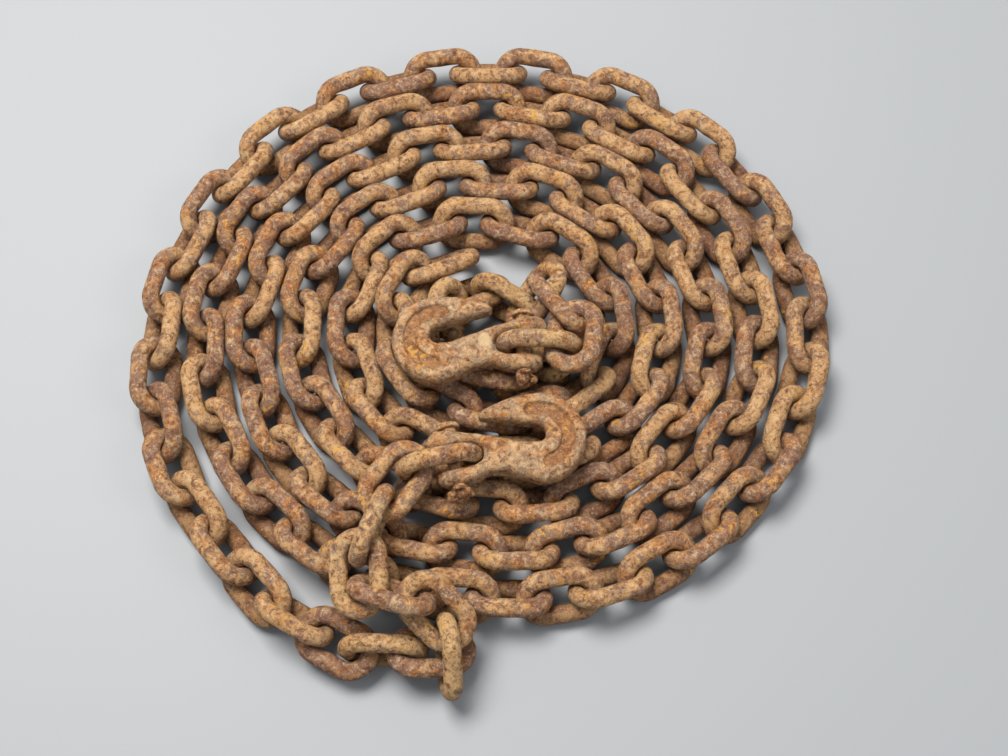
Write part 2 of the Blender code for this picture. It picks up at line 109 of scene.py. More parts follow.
# The hooks: two of one forging, in the plane of U along the hook and V across it, in millimetres from
# the centre of the slot's closed end. The clevis is at +U. An arc has its first and its last angle, in
# degrees, and its number of steps
HOOK_THICKNESS = 16.4 * MM
BEND_CENTRE = (0.0, -2.0)
BEND_RADIUS = 27.3
BEND_ARC = (82, 275, 11)
SLOT_END = (0.5, 0.6)
SLOT_RADIUS = 5.3
SLOT_ARC = (-62, -252, 5)
THROAT_CENTRE = (40.0, -4.4)
THROAT_RADIUS = 6.8
THROAT_ARC = (270, 90, 4)
NECK_EDGE = ((12.3, -24.7), (22.0, -19.2), (32.0, -17.4), (40.0, -20.0), (46.0, -21.2))
LOWER_EAR = ((58.0, -20.5), (62.0, -17.0), (61.5, -12.6), (58.0, -11.4))
UPPER_EAR = ((58.0, 2.4), (62.5, 3.2), (64.5, 6.0), (63.0, 11.0), (58.0, 13.2))
SHANK_EDGE = ((50.0, 11.6), (35.0, 7.2), (20.0, 1.0), (8.0, -3.6))
FINGER_TIP = ((28.2, 14.6), (31.4, 15.6), (32.2, 18.0), (29.4, 20.9), (12.3, 24.9))

# The clevis pins, along V in the middle of the hook's thickness, in millimetres. A cotter goes through
# each pin near its far end, and its two ends are bent over
PIN_U = 50.5
PIN_END = -27.0
PIN_TOP = 18.0
HEAD_MIDDLE = 16.0
HEAD_RADIUS = 7.0
COTTER_V = -24.6
COTTER_EYE = 2.6
COTTER_EYE_CENTRE = (1.3, 8.4)
COTTER_EYE_ARC = (-100, 170, 12)
COTTER_LEG = ((4.6, -6.9), (1.6, -6.6), (0.0, -5.4), (0.0, 5.2))

# Points down the middle of the forging, that loose links are kept clear of
HOOK_SPINE = (
    (-22, -6), (-21, 4), (-9, -18), (6, -20), (19, -12), (27, -12),
    (27, 17), (20, 18), (12, 19), (4, 18), (-4, 17), (-12, 13), (-17, 7), (-20, -1), (-18, -9),
    (-13, -16), (-6, -20), (2, -20), (10, -16), (17, -12), (24, -8), (31, -10), (12, -7), (22, -3),
    (30, 0), (38, -15), (46, -16), (54, -16), (46, 7), (54, 8),
)
SPINE_DEPTH = 3.0

# Where each hook lies: its slot end in millimetres, its heading and tilt in degrees, and whether it is
# face down
BACK_HOOK = (-39.0, 8.9, 43.2, 0.0, 0.6, False)
FRONT_HOOK = (20.0, -51.0, 41.1, 192.0, 2.4, True)

# The loose ends, link by link away from the coil: where each link's middle lies in millimetres, then its
# heading, pitch and roll in degrees. Roll 0 is flat and 90 stands on edge
TAIL = (
    (-93, -170, 15, -28, 0, 20),
    (-67, -171, 17, 5, 0, 83),
    (-37, -176, 14, 0, 0, -40),
    (-30, -175, 24, 99, 22, 90),
    (-40, -152, 37, 146, 10, 5),
    (-62, -148, 42, 172, 0, 45),
    (-83, -132, 41, 96, 0, 0),
    (-76, -114, 43, 73, 0, -60),
    (-67, -86, 41, 53, 0, 0),
)
INNER_END = (
    (37, 14, 14, 252, 0, 53),
    (14, -6, 13, 188, 0, -40),
    (-12, -5, 14, 170, 0, 38),
    (-34, 6, 12, 128, 0, -35),
    (-39, 31, 14, 82, 0, 42),
    (-25, 47, 12, 28, 0, -35),
    (2, 43, 17, -18, 0, 50),
    (13, 35, 29, 40, 15, -45),
    (29, 25, 41, -40, 0, -55),
    (38, 10, 41, -87, 0, 15),
)

# The last link of each end stands on edge in a hook's fork, with the pin through it
FORK_LINK_U = PIN_U + 0.4
FRONT_LINK_SWING = 0.5
BACK_LINK_SWING = -2.0

# How the loose links are eased clear of each other
EASING_ROUNDS = 500
EASING_STEP = 0.6
EASING_REACH = 53.0 * MM
EASED_GAP = 11.06 * MM
LOWEST_MIDDLE = WIRE / 2 + 0.4 * MM
PIN_POINTS = 9

# From the layout's origin to the middle of the heap's box on the floor, in millimetres
ORIGIN_SHIFT = (12.16, -9.474, -0.379)

# A round link's skin: its sides and rings, how much links differ, its dents and pits, and its weld, as a
# share of the bar's radius
BAR_RADIUS = 5.3 * MM
BAR_SIDES = 20
BAR_RINGS = 60
BAR_VARIATION = 0.012
DENT_SIZE = 5.0 * MM
DENT_DEPTH = 0.13 * MM
PIT_SIZE = 1.6 * MM
PIT_DEPTH = 0.06 * MM
WELD_HEIGHT = 0.05
WELD_LENGTH = 2.6 * MM
WELD_SIDE = 0.9 * LEG
SKIN_LIMIT = 5.5 * MM

# How the noises of two seeds are set apart
SEED_STEP = (7.3, 3.1, 5.7)

# A forged hook's skin, in millimetres: how its edges are rounded, and how its ears and finger thin out.
# The ears thin out like a circle past the pin, up to a last share of its radius
HOOK_VOXEL = 0.7 * MM
HOOK_SMOOTHING = 12
HOOK_ROUNDING = 5.5
HOOK_WALL = 0.38
DRILL_REACH = 30.0
DRILL_RADIUS = 5.0
EAR_ROUND = 13.5
EAR_LAST = 0.9
EAR_NECK = 0.12
EAR_NECK_U = 37.0
EAR_NECK_LENGTH = 5.0
FINGER_ROOT = -2.0
FINGER_LENGTH = 33.0
FINGER_V = 7.0
FINGER_THINNING = 0.15
FINGER_CURVE = 1.5

# The relief on a hook's faces, in millimetres: how far from the middle a face starts and is whole, the
# recess round the bend and the boss on the shank, and the sizes and depths of dents, pits and crust
FACE_START = 5.0
FACE_WHOLE = 7.4
RECESS_RADIUS = 16.3
RECESS_ENDS = (82.0, 262.0)
RECESS_HALF_WIDTH = 4.6
RECESS_EDGE = 1.5
RECESS_DEPTH = 2.2
BOSS = (28.0, -4.2)
BOSS_TOP = 3.8
BOSS_FOOT = 4.9
BOSS_HEIGHT = 0.6
HOOK_DENTS = (6.0, 0.30)
HOOK_PITS = (1.8, 0.13)
RECESS_CRUST = (1.4, 0.22)

# A clevis pin's skin, in millimetres: its end, its shank and its domed head. Its surface is worn back a
# little all over
TURNED_SIDES = 24
PIN_RADIUS = 4.6
PIN_TIP = ((PIN_END, 3.4), (-26.6, 4.2), (-25.8, PIN_RADIUS))
SHANK_START = -25.0
SHANK_STEP = 1.5
HEAD_BASE = ((13.7, PIN_RADIUS), (13.72, 6.6))
DOME_START = 14.0
DOME_HEIGHT = PIN_TOP - DOME_START
DOME_CURVE = 0.6
DOME_ANGLES = (0, 20, 40, 60, 78)
PIN_DENTS = (3.0, 0.08)
PIN_WORN = 0.10

# A cotter and the rust round it, in millimetres. Each lump has its place from the pin's middle line, with
# the third number towards the upper side, and its radius. Small crumbs are spread round them
COTTER_RADIUS = 1.15
COTTER_SIDES = 12
RUST_LUMPS = (((0.0, -27.6, 0.0), 4.2), ((0.0, -26.4, 4.8), 4.0), ((3.0, -26.2, -4.0), 3.2))
CRUMBS = 11
CRUMB_SPREAD = (6.4, 1.6, 6.0)
CRUMB_V = -26.8
CRUMB_RADII = (1.5, 2.8)
LUMP_VOXEL = 0.32 * MM
LUMP_SMOOTHING = 2
LUMP_DENTS = (1.6, 0.32)
LUMP_PITS = (0.6, 0.16)

# How far hooks, pins and cotters have turned brown, from 0 to 1. Each link has a random tone of its own
HOOK_TONE = 0.5
PIN_TONE = 0.4
COTTER_TONE = 0.9

# The rust's colours
TAN = (0.80, 0.445, 0.190)
YELLOW_TAN = (0.82, 0.48, 0.20)
ORANGE_BROWN = (0.62, 0.25, 0.075)
RED_BROWN = (0.27, 0.100, 0.040)
PURPLE_BROWN = (0.34, 0.190, 0.135)
DARK_BROWN = (0.135, 0.054, 0.026)
PALE_DUST = (0.93, 0.66, 0.37)
PALE_SPECK = (0.95, 0.84, 0.66)
ORANGE_FLECK = (0.92, 0.48, 0.09)
# Painted shade: a dark red laid over the links towards the floor
PAINTED_LOW_SHADE = (0.21, 0.078, 0.030)
HOOK_TAN = (0.80, 0.455, 0.21)
HOOK_GREY = (0.50, 0.32, 0.19)
BOSS_PALE = (0.94, 0.67, 0.36)
RECESS_ORANGE = (0.62, 0.28, 0.09)
CRUST_ORANGE = (0.80, 0.40, 0.13)

# The noises that place them: the size of the features, then detail, roughness and distortion
BROAD_NOISE = (18.0 * MM, 5.0, 0.6, 0.6)
DULL_NOISE = (9.0 * MM, 8.0, 0.72, 0.5)
STREAK_NOISE = (4.8 * MM, 8.0, 0.76, 0.8)
MOTTLE_NOISE = (2.4 * MM, 8.0, 0.8, 0.4)
CRUST_NOISE = (2.6 * MM, 7.0, 0.75)
PIT_NOISE = (2.4 * MM, 4.0, 0.65)
SPECK_NOISE = (1.3 * MM, 2.0, 0.5)
FLECKED_NOISE = (20.0 * MM, 2.0)
FLECK_NOISE = (3.0 * MM, 3.0)
COARSE_NOISE = (3.2 * MM, 8.0, 0.78, 0.3)
FINE_NOISE = (1.1 * MM, 5.0, 0.7)

# Where the light brown turns dark, the recess's orange turns red, and the flecks lie
BODY_RANGE = (0.53, 0.75)
CRUST_RANGE = (0.44, 0.54)
FLECKED_RANGE = (0.60, 0.66)
FLECK_RANGE = (0.54, 0.61)

# Each layer of colour: the noise where it starts, the noise where it is whole, and its share there. The
# low layer is painted shade, darker and redder towards the floor, and goes by the height above the floor
DULL_LAYER = (0.52, 0.62, 0.85)
STREAK_LAYER = (0.51, 0.60, 0.78)
STREAK_DUST_LAYER = (0.47, 0.39, 0.6)
MOTTLE_LAYER = (0.52, 0.61, 0.65)
MOTTLE_DUST_LAYER = (0.47, 0.38, 0.6)
LOW_SHADE_LAYER = (26.0 * MM, 2.0 * MM, 0.6)
PIT_LAYER = (0.62, 0.68, 0.8)
SPECK_LAYER = (0.67, 0.72, 0.7)
RECESS_SHARE = 0.75
BOSS_SHARE = 0.8
FLECK_SHARE = 0.9

# What a piece's tone adds to the noises of the body and of the dull patches
TONE_IN_BODY = 0.26
TONE_IN_DULL = 0.12

# The surface: its roughness, what the dull noise adds to it, and how deep its coarse and fine bumps are
ROUGHNESS = 0.58
DULL_ROUGHNESS = 0.3
GLOSS = 0.3
COARSE_DEPTH = 6.0 * MM
FINE_DEPTH = 2.6 * MM

# The floor, the lights and the photograph's camera. A light has its place, its size, its power and its
# colour
FLOOR_SIZE = 6.0
FLOOR_COLOUR = (0.268, 0.275, 0.282, 1.0)
FLOOR_ROUGHNESS = 0.6
CEILING_LIGHT = ((-0.5, 0.6, 1.9), (1.1, 0.8), 72.0, (1.0, 0.985, 0.96))
SIDE_LIGHT = ((1.6, -0.4, 1.5), (1.2, 0.8), 9.0, (0.97, 0.98, 1.0))
ROOM_COLOUR = (0.90, 0.94, 1.0, 1.0)
ROOM_STRENGTH = 0.54
CAMERA_DISTANCE = 925.0 * MM
CAMERA_ELEVATION = 69.5
CAMERA_LENS = 53.57
CAMERA_SENSOR = 36.0

# Where the random draws of each group of pieces start
TAIL_SEED = 40
INNER_SEED = 60
HOOK_SEED = 80
PIN_SEED = 90
COTTER_SEED = 100

SHIFT = np.array(ORIGIN_SHIFT) * MM


def unit(vector):
    """A vector made one long."""
    return vector / np.linalg.norm(vector)


class Link:
    """A link's place: its middle, the direction that it runs in, and the direction from leg to leg."""

    def __init__(self, middle, along, across):
        self.middle = np.array(middle, float)
        self.along = unit(np.array(along, float))
        side = np.array(across, float)
        self.across = unit(side - self.along * (side @ self.along))

    def normal(self):
        """The direction square to the link's plane."""
        return np.cross(self.along, self.across)

    def placed(self, plan):
        """Plan points along and across the link, in the layout."""
        return self.middle + plan[:, :1] * self.along + plan[:, 1:] * self.across


def bend_points(angles, radius):
    """Plan points on a circle round the right-hand bend's centre, by angle from the link's long axis."""
    turn = np.radians(angles)
    return np.stack([BEND + radius * np.cos(turn), radius * np.sin(turn)], axis=1)


def clearance_plan():
    """Points on the round oval and on the faceted loop, close enough together to measure gaps with."""
    crown = bend_points(np.linspace(-90, 90, 11), LEG)
    leg = np.stack([np.linspace(-BEND, BEND, 7)[1:-1], np.full(5, LEG)], axis=1)
    corners = bend_points([-CROWN_CORNER, CROWN_CORNER], LEG * CROWN_SPREAD)
    shoulders = (corners + bend_points([-90, 90], LEG)) / 2
    half = np.vstack([crown, leg, corners, shoulders])
    return np.vstack([half, -half])


def outer_radius(turn):
    """The outer turn's radius, on a smooth curve through OUTER_TURN."""
    turns = [t for t, _ in OUTER_TURN]
    radii = [r * MM for _, r in OUTER_TURN]
    k = max(1, min(int(np.searchsorted(turns, turn)), len(turns) - 1))
    share = (turn - turns[k - 1]) / (turns[k] - turns[k - 1])
    share = min(max(share, 0.0), 1.0)
    slopes = np.gradient(radii, turns)
    span = turns[k] - turns[k - 1]
    a, b = radii[k - 1], radii[k]
    ease = share * share * (3 - 2 * share)
    swing = share * (1 - share) * span * (slopes[k - 1] * (1 - share) - slopes[k] * share)
    return a + (b - a) * ease + swing


def wanted_radius(turn):
    """The outer turn's radius, and one step less for each turn inside it."""
    inner = 0
    while turn > OUTER_TURN[-1][0]:
        turn -= 1
        inner += 1
    return outer_radius(turn) - inner * TURN_STEP


def lean_out(turn):
    """How steep the links that lean outwards are here: flat, or steep in the front right sector."""
    bearing = 270.0 - 360.0 * turn
    off = abs((bearing - SECTOR_MIDDLE + 180.0) % 360.0 - 180.0)
    share = min(max((SECTOR_HALF - off) / SECTOR_SOFT, -1.0), 1.0)
    return 45.0 + (45.0 - FLAT_LEAN) * math.sin(share * math.pi / 2)


def coil_link(turn, radius, slope, side, play):
    """A link of the coil. side is 1 where it leans outwards and -1 where it leans inwards."""
    bearing = math.radians(270.0 - 360.0 * turn)
    outward = np.array([math.cos(bearing), math.sin(bearing), 0.0])
    clockwise = np.array([outward[1], -outward[0], 0.0])
    along = unit(clockwise + slope * outward)
    left = np.array([-along[1], along[0], 0.0])
    steep = lean_out(turn)
    lean = steep if side > 0 else 90.0 - steep
    height = LEG * math.sin(math.radians(max(steep, 90.0 - steep))) + WIRE / 2 + FLOOR_GAP
    if lean < 45.0:
        height -= FLAT_DROP
    lean = math.radians(lean + play)
    across = side * math.cos(lean) * left + np.array([0.0, 0.0, math.sin(lean)])
    middle = np.array([COIL_MIDDLE[0], COIL_MIDDLE[1], height]) + radius * outward
    return Link(middle, along, across)


def spacing(before, after):
    """From middle to middle of two links that hang in each other."""
    half_turn = math.acos(min(1.0, float(before.along @ after.along))) / 2
    return 2 * REACH * math.cos(half_turn) - MEET


def coil_links():
    """The coil's links from the outside in, each moved inwards until it is clear of the rest."""
    rng = np.random.default_rng(SEED)
    plan = clearance_plan()
    turn, radius, side = COIL_START, wanted_radius(COIL_START), 1
    links = [coil_link(turn, radius, 0.0, side, 0.0)]
    clouds = [links[0].placed(plan)]
    while len(links) < COIL_LINKS:
        side = -side
        before = links[-1]
        play = rng.uniform(-LEAN_PLAY, LEAN_PLAY)
        ahead = turn + PITCH / (2 * math.pi * radius)
        first = min(wanted_radius(ahead), radius + OUTWARD_MOST)
        middles = np.array([link.middle for link in links[:-1]]).reshape(-1, 3)
        best = None
        for inward in np.arange(0.0, INWARD_MOST, INWARD_STEP):
            r = first - inward
            slope = (r - radius) / PITCH / 2
            t = ahead
            for _ in range(SPACING_ROUNDS):
                link = coil_link(t, r, slope, side, play)
                short = spacing(before, link) - np.linalg.norm(link.middle - before.middle)
                t += short / (2 * math.pi * r)
            link = coil_link(t, r, slope, side, play)
            cloud = link.placed(plan)
            near = np.linalg.norm(middles - link.middle, axis=1) < SEARCH_REACH
            gap = SEARCH_REACH
            for k in np.flatnonzero(near):
                apart = cloud[:, None] - clouds[k][None]
                gap = min(gap, math.sqrt(float((apart * apart).sum(axis=2).min())))
            if best is None or gap > best[0]:
                best = (gap, t, r, link, cloud)
            if gap >= CLEARANCE:
                break
        _, turn, radius, link, cloud = best
        links.append(link)
        clouds.append(cloud)
    return links


def posed_link(x, y, z, heading, pitch, roll):
    """A link placed from its listed middle, heading, pitch and roll."""
    a, b, c = (math.radians(angle) for angle in (heading, pitch, roll))
    level = np.array([math.cos(a), math.sin(a), 0.0])
    left = np.array([-math.sin(a), math.cos(a), 0.0])
    up = np.array([0.0, 0.0, 1.0])
    along = math.cos(b) * level + math.sin(b) * up
    rise = math.cos(b) * up - math.sin(b) * level
    return Link(np.array([x, y, z]) * MM, along, math.cos(c) * left + math.sin(c) * rise)


def eased_apart(links, still):
    """Links listed one by one or laid by rule, each moved just enough to lie clear of the rest and of the
    floor.

    Still holds the points that don't move. Wherever two bars are closer than EASED_GAP, each of their
    points is pushed back by half of what is missing, and each link follows the pushes on it.
    """
    plan = clearance_plan()
    middles = np.array([link.middle for link in links])
    along = np.array([link.along for link in links])
    across = np.array([link.across for link in links])
    apart = np.linalg.norm(middles[:, None] - middles[None], axis=2)
    first, second = np.nonzero(np.triu(apart < EASING_REACH, 1))
    near, obstacles = np.nonzero(np.linalg.norm(middles[:, None] - still[None], axis=2) < EASING_REACH)
    for _ in range(EASING_ROUNDS):
        clouds = middles[:, None] + plan[:, :1] * along[:, None] + plan[:, 1:] * across[:, None]
        moves = np.zeros_like(clouds)
        touches = np.zeros(clouds.shape[:2])
        gaps = clouds[first][:, :, None] - clouds[second][:, None]
        sizes = np.sqrt(np.einsum("pijk,pijk->pij", gaps, gaps))
        for mine, axis, sign in ((first, 2, 1.0), (second, 1, -1.0)):
            nearest = sizes.argmin(axis=axis)
            least = sizes.min(axis=axis)
            rows, points = np.nonzero(least < EASED_GAP)
            if axis == 2:
                push = gaps[rows, points, nearest[rows, points]]
            else:
                push = gaps[rows, nearest[rows, points], points]
            size = least[rows, points][:, None]
            np.add.at(moves, (mine[rows], points), sign * push / size * (EASED_GAP - size) / 2)
            np.add.at(touches, (mine[rows], points), 1.0)
        gaps = clouds[near] - still[obstacles][:, None]
        sizes = np.linalg.norm(gaps, axis=2)
        rows, points = np.nonzero(sizes < EASED_GAP)
        size = sizes[rows, points][:, None]
        np.add.at(moves, (near[rows], points), gaps[rows, points] / size * (EASED_GAP - size))
        np.add.at(touches, (near[rows], points), 1.0)
        sunk = np.maximum(LOWEST_MIDDLE - clouds[:, :, 2], 0.0)
        moves[:, :, 2] += sunk
        touches += sunk > 0
        count = np.maximum(touches.sum(axis=1), 1.0)[:, None]
        arms = clouds - middles[:, None]
        twist = np.cross(arms, moves).sum(axis=1) / count * EASING_STEP / (REACH * REACH / 2)
        middles += moves.sum(axis=1) / count * EASING_STEP
        along += np.cross(twist, along)
        across += np.cross(twist, across)
        along /= np.linalg.norm(along, axis=1, keepdims=True)
        across -= along * np.einsum("ij,ij->i", across, along)[:, None]
        across /= np.linalg.norm(across, axis=1, keepdims=True)
    return [Link(*rows) for rows in zip(middles, along, across)]


class Place:
    """A hook's place: the axes U along it, V across it and W through it, and its slot end."""

    def __init__(self, x, y, z, heading, tilt, face_down):
        a, b = math.radians(heading), math.radians(tilt)
        ahead = np.array([math.cos(a), math.sin(a), 0.0])
        up = np.array([0.0, 0.0, 1.0])
        self.origin = np.array([x, y, z]) * MM
        self.u = math.cos(b) * ahead + math.sin(b) * up
        self.w = math.cos(b) * up - math.sin(b) * ahead
        if face_down:
            self.w = -self.w
        self.v = np.cross(self.w, self.u)

    def at(self, points):
        """Points given in millimetres along U, V and W, in the layout."""
        u, v, w = (np.array(points, float) * MM).T
        return self.origin + np.outer(u, self.u) + np.outer(v, self.v) + np.outer(w, self.w)

    def in_frame(self, points):
        """Points given in metres along U, V and W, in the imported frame."""
        return self.origin + SHIFT + points @ np.stack([self.u, self.v, self.w])


def hook_cloud(place):
    """Points inside a hook, each half a bar's thickness below its faces."""
    return place.at([(u, v, w) for u, v in HOOK_SPINE for w in (-SPINE_DEPTH, SPINE_DEPTH)])


def pin_cloud(place):
    """Points along a pin's middle line, and round the middle of its head."""
    points = [(PIN_U, v, 0.0) for v in np.linspace(PIN_END, PIN_TOP, PIN_POINTS)]
    rim = arc((0.0, 0.0), HEAD_RADIUS / 2, 0, 360, PIN_POINTS - 1)
    points += [(PIN_U + x, HEAD_MIDDLE, z) for x, z in rim]
    return place.at(points)


def fork_link(place, swing):
    """The link on edge in a hook's fork, turned by swing from the hook's own heading, in degrees."""
    bend = place.at([(FORK_LINK_U, THROAT_CENTRE[1], 0.0)])[0]
    heading = math.atan2(place.u[1], place.u[0]) + math.radians(swing)
    away = np.array([math.cos(heading), math.sin(heading), 0.0])
    return Link(bend + BEND * away, -away, np.array([0.0, 0.0, 1.0]))


def laid_chain():
    """Every link of the chain: the coil, the tail that ends in the front hook, and the inner end."""
    coil = coil_links()
    front, back = Place(*FRONT_HOOK), Place(*BACK_HOOK)
    fork_links = [fork_link(front, FRONT_LINK_SWING), fork_link(back, BACK_LINK_SWING)]
    still = [link.placed(clearance_plan()) for link in fork_links]
    still += [pin_cloud(front), pin_cloud(back), hook_cloud(front), hook_cloud(back)]
    by_hand = [posed_link(*row) for row in TAIL + INNER_END]
    eased = eased_apart(coil + by_hand, np.vstack(still))
    tail_start, inner_start = len(coil), len(coil) + len(TAIL)
    tail = eased[tail_start:inner_start] + [fork_links[0]]
    inner_end = eased[inner_start:] + [fork_links[1]]
    return eased[:tail_start], tail, inner_end


def arc(centre, radius, first, last, steps):
    """Points on a circle, from the first angle to the last in degrees."""
    angles = np.radians(np.linspace(first, last, steps + 1))
    return [(centre[0] + radius * math.cos(a), centre[1] + radius * math.sin(a)) for a in angles]


def hook_outline():
    """The forging's outline, anticlockwise from the finger's back."""
    outline = arc(BEND_CENTRE, BEND_RADIUS, *BEND_ARC)
    outline += NECK_EDGE + LOWER_EAR
    outline += arc(THROAT_CENTRE, THROAT_RADIUS, *THROAT_ARC)
    outline += UPPER_EAR + SHANK_EDGE
    outline += arc(SLOT_END, SLOT_RADIUS, *SLOT_ARC)
    outline += FINGER_TIP
    return outline


def oval_rings():
    """Even points round a link's middle line in plan, and the direction out of the link at each."""
    around, half = [], math.pi * LEG
    total = 2 * (2 * BEND + half)
    for k in range(BAR_RINGS):
        s = total * k / BAR_RINGS
        end = 1.0
        if s >= total / 2:
            s -= total / 2
            end = -1.0
        if s < half:
            angle = s / LEG - math.pi / 2
            x, y = BEND + LEG * math.cos(angle), LEG * math.sin(angle)
            out = (math.cos(angle), math.sin(angle))
        else:
            x, y, out = BEND - (s - half), LEG, (0.0, 1.0)
        around.append((end * x, end * y, end * out[0], end * out[1]))
    return np.array(around)


def dents(points, size, seed):
    """Noise from -1 to 1 at each point, with features of this size."""
    offset = Vector([seed * step for step in SEED_STEP])
    return np.array([noise.noise(Vector(p) / size + offset) for p in points])


def link_skin(link, rings, rng, seed):
    """A round link's vertices: the bar's section at each ring, with its weld, dents and pits."""
    ring_middles = link.placed(rings[:, :2])
    outward = rings[:, 2:3] * link.along + rings[:, 3:] * link.across
    turns = 2 * math.pi * (np.arange(BAR_SIDES) + 0.5) / BAR_SIDES
    directions = (
        outward[:, None] * np.cos(turns)[None, :, None] + link.normal() * np.sin(turns)[None, :, None]
    )
    size = BAR_RADIUS * (1 + rng.uniform(-BAR_VARIATION, BAR_VARIATION))
    along_leg = np.where(rings[:, 1] * rng.choice([-1.0, 1.0]) > WELD_SIDE, rings[:, 0], 1.0)
    weld = 1 + WELD_HEIGHT * np.exp(-((along_leg / WELD_LENGTH) ** 2))
    points = ring_middles[:, None] + directions * (size * weld)[:, None, None]
    flat = points.reshape(-1, 3)
    bump = DENT_DEPTH * dents(flat, DENT_SIZE, seed) + PIT_DEPTH * dents(flat, PIT_SIZE, seed + 1)
    depth = np.linalg.norm(flat - np.repeat(ring_middles, BAR_SIDES, axis=0), axis=1) + bump
    depth = np.minimum(depth, SKIN_LIMIT)
    points = np.repeat(ring_middles, BAR_SIDES, axis=0) + directions.reshape(-1, 3) * depth[:, None]
    points += SHIFT
    points[:, 2] = np.maximum(points[:, 2], 0.0)
    return points


def link_faces(first):
    """The faces of a round link whose vertices start at this number."""
    faces = []
    for k in range(BAR_RINGS):
        after = (k + 1) % BAR_RINGS
        for m in range(BAR_SIDES):
            n = (m + 1) % BAR_SIDES
            quad = (k * BAR_SIDES + m, k * BAR_SIDES + n, after * BAR_SIDES + n, after * BAR_SIDES + m)
            faces.append([first + v for v in quad])
    return faces


def add_value(data, name, values):
    """A number at each vertex, for the material to read."""
    layer = data.attributes.new(name=name, type="FLOAT", domain="POINT")
    layer.data.foreach_set("value", np.array(values, np.float32))


def placed_piece(piece, node, material):
    """Dresses a piece and puts it in the place of a solid of the frame."""
    piece.data.materials.clear()
    piece.data.materials.append(material)
    piece.data.polygons.foreach_set("use_smooth", [True] * len(piece.data.polygons))
    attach(piece, "root")
    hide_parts(node)


def link_piece(name, node, links, material, seed):
    """The links that stand for one solid of the frame, each its own closed skin."""
    rings = oval_rings()
    rng = np.random.default_rng(seed)
    points, faces, tones = [], [], []
    for k, link in enumerate(links):
        faces += link_faces(len(points) * BAR_RINGS * BAR_SIDES)
        points.append(link_skin(link, rings, rng, seed * 10 + k))
        tones.append(np.full(BAR_RINGS * BAR_SIDES, rng.uniform(0.0, 1.0)))
    data = bpy.data.meshes.new(name)
    data.from_pydata(np.vstack(points).tolist(), [], faces)
    add_value(data, "tone", np.concatenate(tones))
    piece = bpy.data.objects.new(name, data)
    bpy.context.scene.collection.objects.link(piece)
    placed_piece(piece, node, material)


def new_object(name, mesh):
    """A linked object of a closed bmesh, which is freed."""
    bmesh.ops.recalc_face_normals(mesh, faces=mesh.faces)
    data = bpy.data.meshes.new(name)
    mesh.to_mesh(data)
    mesh.free()
    obj = bpy.data.objects.new(name, data)
    bpy.context.scene.collection.objects.link(obj)
    return obj


def applied(obj):
    """Replaces an object's mesh by what its modifiers make of it."""
    graph = bpy.context.evaluated_depsgraph_get()
    result = bpy.data.meshes.new_from_object(obj.evaluated_get(graph))
    obj.modifiers.clear()
    obj.data = result


def turned(mesh, stations, sides):
    """A turned solid on the pin's middle line, from (distance, radius) stations in millimetres."""
    rings = []
    for v, radius in stations:
        ring = []
        for k in range(sides):
            angle = 2 * math.pi * k / sides
            place = (PIN_U + radius * math.cos(angle), v, radius * math.sin(angle))
            ring.append(mesh.verts.new([c * MM for c in place]))
        rings.append(ring)
    for near, far in zip(rings, rings[1:]):
        for k in range(sides):
            n = (k + 1) % sides
            mesh.faces.new((near[k], near[n], far[n], far[k]))
    mesh.faces.new(rings[0][::-1])
    mesh.faces.new(rings[-1])


def remeshed(obj, voxel, smoothing):
    """Makes an object one even closed skin, softened by this many rounds."""
    skin = obj.modifiers.new("skin", "REMESH")
    skin.mode = "VOXEL"
    skin.voxel_size = voxel
    soften = obj.modifiers.new("soften", "SMOOTH")
    soften.factor = 0.5
    soften.iterations = smoothing
    applied(obj)


def vertices_of(obj):
    """An object's vertices, in its own space."""
    points = np.zeros(len(obj.data.vertices) * 3)
    obj.data.vertices.foreach_get("co", points)
    return points.reshape(-1, 3)


def normals_of(obj):
    """The normal at each vertex of an object."""
    normals = np.zeros(len(obj.data.vertices) * 3)
    obj.data.vertices.foreach_get("normal", normals)
    return normals.reshape(-1, 3)


def set_vertices(obj, points):
    """Moves an object's vertices to these places."""
    obj.data.vertices.foreach_set("co", points.ravel())
    obj.data.update()


def relief(points, grain, seed):
    """Noise at each point, in metres, from a (size, depth) pair in millimetres."""
    size, depth = grain
    return depth * dents(points, size * MM, seed) * MM


def smooth_step(value, low, high):
    """0 below low and 1 above high, with a smooth rise between."""
    share = np.clip((value - low) / (high - low), 0.0, 1.0)
    return share * share * (3 - 2 * share)


def recess_share(u, v):
    """How deep in the hook's recess a point of its plan lies: 1 on its floor and 0 outside it."""
    x, y = u - BEND_CENTRE[0], v - BEND_CENTRE[1]
    angle = np.degrees(np.arctan2(y, x)) % 360.0
    radial = np.abs(np.hypot(x, y) - RECESS_RADIUS)
    past = np.maximum(RECESS_ENDS[0] - angle, angle - RECESS_ENDS[1])
    past = np.maximum(past, 0.0) * math.pi / 180 * RECESS_RADIUS
    away = np.hypot(radial, past)
    return 1 - smooth_step(away, RECESS_HALF_WIDTH - RECESS_EDGE, RECESS_HALF_WIDTH)


def edge_distance(u, v):
    """How far inside the hook's outline each point of its plan lies."""
    outline = np.array(hook_outline())
    least = np.full(len(u), 1e9)
    for start, end in zip(outline, np.roll(outline, -1, axis=0)):
        span = end - start
        share = np.clip(((u - start[0]) * span[0] + (v - start[1]) * span[1]) / (span @ span), 0.0, 1.0)
        away = np.hypot(u - start[0] - share * span[0], v - start[1] - share * span[1])
        least = np.minimum(least, away)
    return least


def boss_share(u, v):
    """1 on top of the hook's boss and 0 outside its foot, for each point of its plan."""
    return 1 - smooth_step(np.hypot(u - BOSS[0], v - BOSS[1]), BOSS_TOP, BOSS_FOOT)


